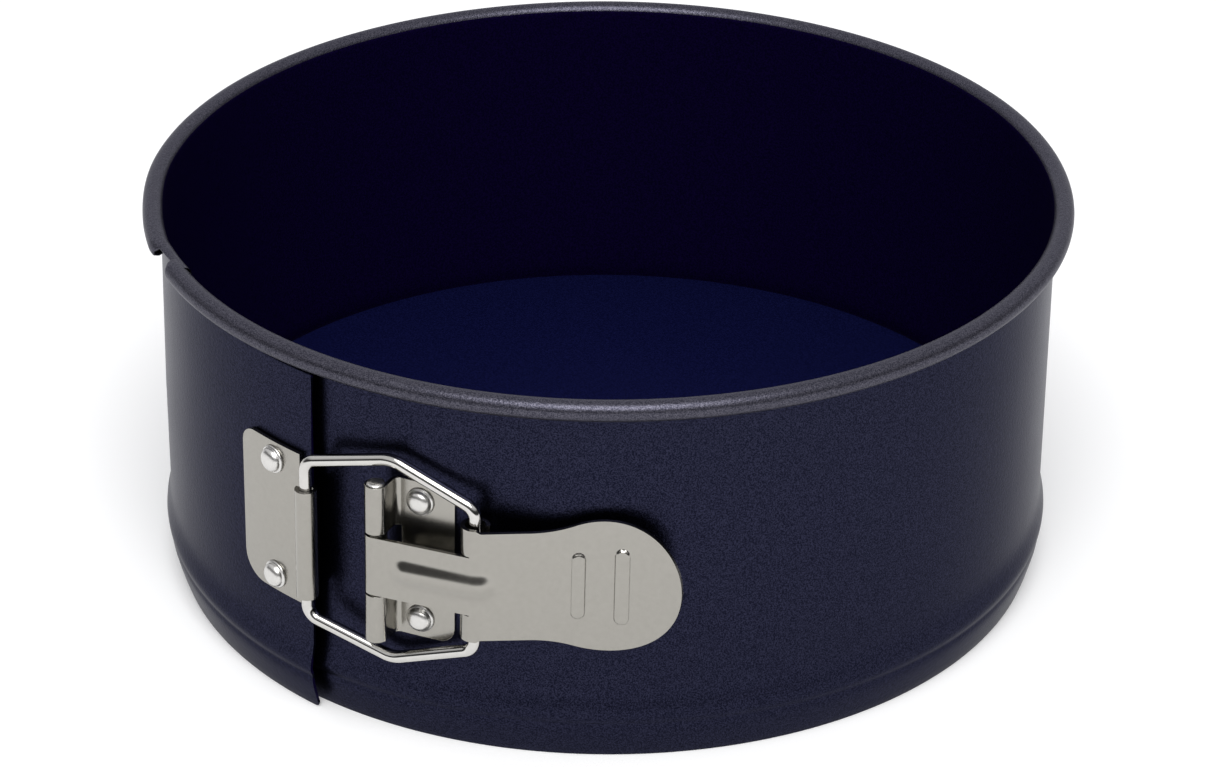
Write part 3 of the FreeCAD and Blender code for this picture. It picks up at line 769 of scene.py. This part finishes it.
def build_rivet(name, azimuth, z, wide, metal):
    """A low button on a flange, a shank through plate and wall, and a flat tail."""
    centre = WIDE_CENTRE if wide else (0.0, 0.0)
    extra = WIDE_EXTRA if wide else 0.0
    about = azimuth_about(centre, polar(azimuth, WALL + 3))
    grip = PLATE + SHEET + 0.05
    button = [
        (0.0, 1.88),
        (0.7, 1.86),
        (1.3, 1.78),
        (1.75, 1.62),
        (2.1, 1.38),
        (2.34, 1.05),
        (2.45, 0.72),
        (2.47, 0.58),
    ]
    flange = [(2.52, 0.52), (2.7, 0.48), (2.84, 0.38), (2.9, 0.22), (2.88, 0.06), (2.82, 0.0)]
    shank = [(1.4, 0.0), (1.4, -grip)]
    tail = [
        (2.3, -grip),
        (2.4, -grip - 0.12),
        (2.3, -grip - 0.36),
        (1.6, -grip - 0.5),
        (0.0, -grip - 0.52),
    ]
    place = placed(about, WALL + extra + PLATE, z, centre)
    return lathe(name, button + flange + shank + tail, [metal], 64, place)


# ---- materials ----

def material(name):
    made = bpy.data.materials.new(name)
    made.use_nodes = True
    tree = made.node_tree
    tree.nodes.clear()
    output = tree.nodes.new("ShaderNodeOutputMaterial")
    shader = tree.nodes.new("ShaderNodeBsdfPrincipled")
    tree.links.new(shader.outputs["BSDF"], output.inputs["Surface"])
    return made, tree, shader


def noise(tree, scale, detail=2.0, roughness=0.5):
    place = tree.nodes.new("ShaderNodeTexCoord")
    texture = tree.nodes.new("ShaderNodeTexNoise")
    texture.inputs["Scale"].default_value = scale
    texture.inputs["Detail"].default_value = detail
    texture.inputs["Roughness"].default_value = roughness
    tree.links.new(place.outputs["Object"], texture.inputs["Vector"])
    return texture.outputs["Fac"]


def ramp(tree, source, stops):
    node = tree.nodes.new("ShaderNodeValToRGB")
    elements = node.color_ramp.elements
    while len(elements) < len(stops):
        elements.new(0.5)
    for element, (position, colour) in zip(elements, stops):
        element.position = position
        element.color = (*colour, 1)
    tree.links.new(source, node.inputs["Fac"])
    return node.outputs["Color"]


def spread_value(tree, source, low, high):
    node = tree.nodes.new("ShaderNodeMapRange")
    node.inputs["To Min"].default_value = low
    node.inputs["To Max"].default_value = high
    tree.links.new(source, node.inputs["Value"])
    return node.outputs["Result"]


def bump(tree, shader, source, strength, distance):
    node = tree.nodes.new("ShaderNodeBump")
    node.inputs["Strength"].default_value = strength
    node.inputs["Distance"].default_value = distance
    tree.links.new(source, node.inputs["Height"])
    tree.links.new(node.outputs["Normal"], shader.inputs["Normal"])


def coating(
    name, dark, light, roughness, specular, grain, metallic=0.0, tint=(0.72, 0.76, 1.0), fineness=2600
):
    """Non-stick coating with a fine speckle of metal flake."""
    made, tree, shader = material(name)
    flake = noise(tree, fineness, 2.0, 0.6)
    speckle = ramp(tree, flake, [(0.40, dark), (0.62, light)])
    tree.links.new(speckle, shader.inputs["Base Color"])
    patchy = spread_value(tree, noise(tree, 60, 3.0), roughness - 0.03, roughness + 0.03)
    tree.links.new(patchy, shader.inputs["Roughness"])
    shader.inputs["Metallic"].default_value = metallic
    shader.inputs["Specular IOR Level"].default_value = specular
    shader.inputs["Specular Tint"].default_value = (*tint, 1)
    bump(tree, shader, noise(tree, 1500, 3.0, 0.6), grain, 0.0001)
    return made


def plated(name, colour, roughness, waviness):
    """Bright plating: smooth, with faint marks and slight waviness from pressing."""
    made, tree, shader = material(name)
    marks = noise(tree, 900, 3.0, 0.6)
    dull = tuple(0.94 * c for c in colour)
    tree.links.new(ramp(tree, marks, [(0.3, dull), (0.7, colour)]), shader.inputs["Base Color"])
    uneven = spread_value(tree, marks, roughness - 0.02, roughness + 0.03)
    tree.links.new(uneven, shader.inputs["Roughness"])
    shader.inputs["Metallic"].default_value = 1.0
    bump(tree, shader, marks, waviness, 0.00002)
    return made


edge_tint = (0.62, 0.62, 0.64)
outside = coating(
    "coated outside",
    dark=(0.0064, 0.0070, 0.0160),
    light=(0.0232, 0.0243, 0.0480),
    roughness=0.30,
    specular=0.5,
    grain=0.6,
    metallic=1.0,
    tint=edge_tint,
    fineness=3500,
)
# the rolled rim is the same coated sheet as the wall; its coating is painted lighter and more metallic so
# that the rim reads as catching the overhead light: painted light
rim_coating_painted_light = coating(
    "coated rim, painted light",
    dark=(0.025, 0.025, 0.038),
    light=(0.092, 0.089, 0.114),
    roughness=0.34,
    specular=0.5,
    grain=0.8,
    metallic=0.78,
    tint=edge_tint,
    fineness=4200,
)
inside = coating(
    "coated inside",
    dark=(0.0018, 0.0008, 0.0110),
    light=(0.0042, 0.0014, 0.0235),
    roughness=0.42,
    specular=0.03,
    grain=0.3,
)
floor_coating = coating(
    "coated base",
    dark=(0.0020, 0.0026, 0.0200),
    light=(0.0042, 0.0052, 0.0360),
    roughness=0.42,
    specular=0.06,
    grain=0.2,
)
nickel = plated("plated sheet", (0.332, 0.320, 0.292), 0.20, 0.03)
wire = plated("plated wire", (0.58, 0.57, 0.55), 0.09, 0.03)
rivet_metal = plated("plated rivet", (0.64, 0.63, 0.61), 0.30, 0.05)

# ---- the object ----

coatings = [outside, inside, rim_coating_painted_light]
front, back, outer = build_front(coatings), build_back(coatings), build_outer(coatings)
for obj in (front, back, outer):
    clean(obj, merge=1e-7, sharp=50)
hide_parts("side_ring")
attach(front, "ring")
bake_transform(back)
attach(outer, "outer_end")

base_edge, hem, top, under = 91.1, 1.1, 12.8, 12.1
profile = [(0.0, top), (60.0, top), (80.0, top), (88.0, top)]
profile += arc_points((base_edge - hem, top - hem), hem, 90, -165, 26)
profile += [(base_edge - 2.4, under), (86.0, under), (0.0, under)]
base = lathe("base_disc", profile, [floor_coating], 360)
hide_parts("base_plate")
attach(base, "base")

lever = leaned(build_lever(nickel))
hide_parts("lever")
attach(lever, "lever")

bracket = leaned(build_bracket(nickel))
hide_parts("hinge_bracket")
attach(bracket, "ring")

catch = leaned(build_catch(nickel))
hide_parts("catch_plate")
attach(catch, "outer_end")

bail = leaned(build_bail(wire))
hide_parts("bail")
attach(bail, "bail")

for side, sign in (("upper", 1), ("lower", -1)):
    for kind, azimuth, wide, body in (("bracket", 4.5, False, "ring"), ("catch", -15.8, True, "outer_end")):
        height = CLASP_Z + sign * RIVET_HEIGHT
        obj = leaned(build_rivet(f"{kind}_rivet_{side}_dome", azimuth, height, wide, rivet_metal))
        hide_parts(f"{kind}_rivet_{side}")
        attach(obj, body)

pin_half = 17.6
pin_profile = [
    (0.0, pin_half),
    (1.2, pin_half),
    (1.65, pin_half - 0.15),
    (1.8, pin_half - 0.38),
    (PIN_RADIUS, pin_half - 0.4),
]
pin_profile += [(r, -z) for r, z in reversed(pin_profile)]
pin = lathe("pin_turned", [(r, CLASP_Z + z) for r, z in pin_profile], [rivet_metal], 48)
pin.data.transform(Matrix.Translation(Vector((PIN[0], PIN[1], 0)) * MM))
leaned(pin)
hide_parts("hinge_pin")
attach(pin, "ring")

# ---- floor, light and camera ----

floor_material, tree, shader = material("studio floor")
whites = [(0.0, (0.86, 0.86, 0.86)), (1.0, (0.89, 0.89, 0.89))]
tree.links.new(ramp(tree, noise(tree, 3.0, 2.0), whites), shader.inputs["Base Color"])
shader.inputs["Roughness"].default_value = 0.9
shader.inputs["Specular IOR Level"].default_value = 0.1
shader.inputs["Emission Color"].default_value = (1, 1, 1, 1)
shader.inputs["Emission Strength"].default_value = 0.14
floor_half = 12000
floor_corners = [(x * floor_half, y * floor_half, 0) for x, y in ((-1, -1), (1, -1), (1, 1), (-1, 1))]
floor = shape("studio_floor", floor_corners, [[0, 1, 2, 3]], [floor_material])

CAMERA_AZIMUTH = 27.04  # degrees from -Y towards +X
CAMERA_ELEVATION = 28.5
CAMERA_DISTANCE = 0.87218
CAMERA_PAN = 0.0006  # radians, as the roll is
CAMERA_ROLL = 0.0066
AIM = Vector((0, 0, 0.033225))


def outwards(azimuth, elevation):
    """A unit vector with its azimuth from -Y towards +X, in radians."""
    flat = math.cos(elevation)
    return Vector((math.sin(azimuth) * flat, -math.cos(azimuth) * flat, math.sin(elevation)))


def lamp(name, azimuth, elevation, distance, width, height, power):
    """A soft box that faces the pan. Its azimuth is counted from the camera's, to the right."""
    a, e = math.radians(CAMERA_AZIMUTH + azimuth), math.radians(elevation)
    data = bpy.data.lights.new(name, "AREA")
    data.shape = "RECTANGLE"
    data.size, data.size_y = width, height
    data.energy = power
    obj = bpy.data.objects.new(name, data)
    bpy.context.collection.objects.link(obj)
    aim = Vector((0, 0, 0.04))
    obj.location = outwards(a, e) * distance + aim
    obj.rotation_euler = (aim - obj.location).to_track_quat("-Z", "Y").to_euler()


lamp("overhead", azimuth=0, elevation=55, distance=1.5, width=1.0, height=1.0, power=19)

world = bpy.data.worlds.new("studio")
bpy.context.scene.world = world
world.use_nodes = True
tree = world.node_tree
background = tree.nodes["Background"]
direction = tree.nodes.new("ShaderNodeTexCoord")
split = tree.nodes.new("ShaderNodeSeparateXYZ")
tree.links.new(direction.outputs["Generated"], split.inputs["Vector"])
# by height: dark just above the horizon on the camera's side, bright overhead
heights = [(0, 0.35), (0.03, 0.12), (0.08, 0.04), (0.30, 0.05), (0.42, 0.48), (0.60, 0.80), (1, 0.68)]
front_sky = ramp(tree, split.outputs["Z"], [(h, (v, v, v * 1.02)) for h, v in heights])
# by depth: a pale backdrop behind the pan
depth = tree.nodes.new("ShaderNodeVectorMath")
depth.operation = "DOT_PRODUCT"
a, e = math.radians(CAMERA_AZIMUTH), math.radians(CAMERA_ELEVATION)
depth.inputs[1].default_value = (-math.sin(a), math.cos(a), 0)
tree.links.new(direction.outputs["Generated"], depth.inputs[0])
depths = [(0.1, (0, 0, 0)), (0.45, (0.25, 0.25, 0.25)), (0.75, (1, 1, 1))]
share = ramp(tree, depth.outputs["Value"], depths)
mix = tree.nodes.new("ShaderNodeMix")
mix.data_type = "RGBA"
tree.links.new(share, mix.inputs["Factor"])
tree.links.new(front_sky, mix.inputs["A"])
mix.inputs["B"].default_value = (0.85, 0.85, 0.88, 1)
tree.links.new(mix.outputs["Result"], background.inputs["Color"])
background.inputs["Strength"].default_value = 1.0

camera_data = bpy.data.cameras.new("camera")
camera = bpy.data.objects.new("camera", camera_data)
bpy.context.collection.objects.link(camera)
out = outwards(a, e)
camera.location = AIM + out * CAMERA_DISTANCE
pan = Matrix.Rotation(-CAMERA_PAN, 4, "Z")
tilt = (-out).to_track_quat("-Z", "Y").to_matrix().to_4x4()
camera.rotation_euler = (pan @ tilt @ Matrix.Rotation(CAMERA_ROLL, 4, "Z")).to_euler()
camera_data.lens = 122.95
camera_data.sensor_width = 36
camera_data.dof.use_dof = False
camera_data.clip_end = 50
bpy.context.scene.camera = camera
bpy.context.scene.view_settings.view_transform = "Standard"
bpy.context.scene.view_settings.look = "None"
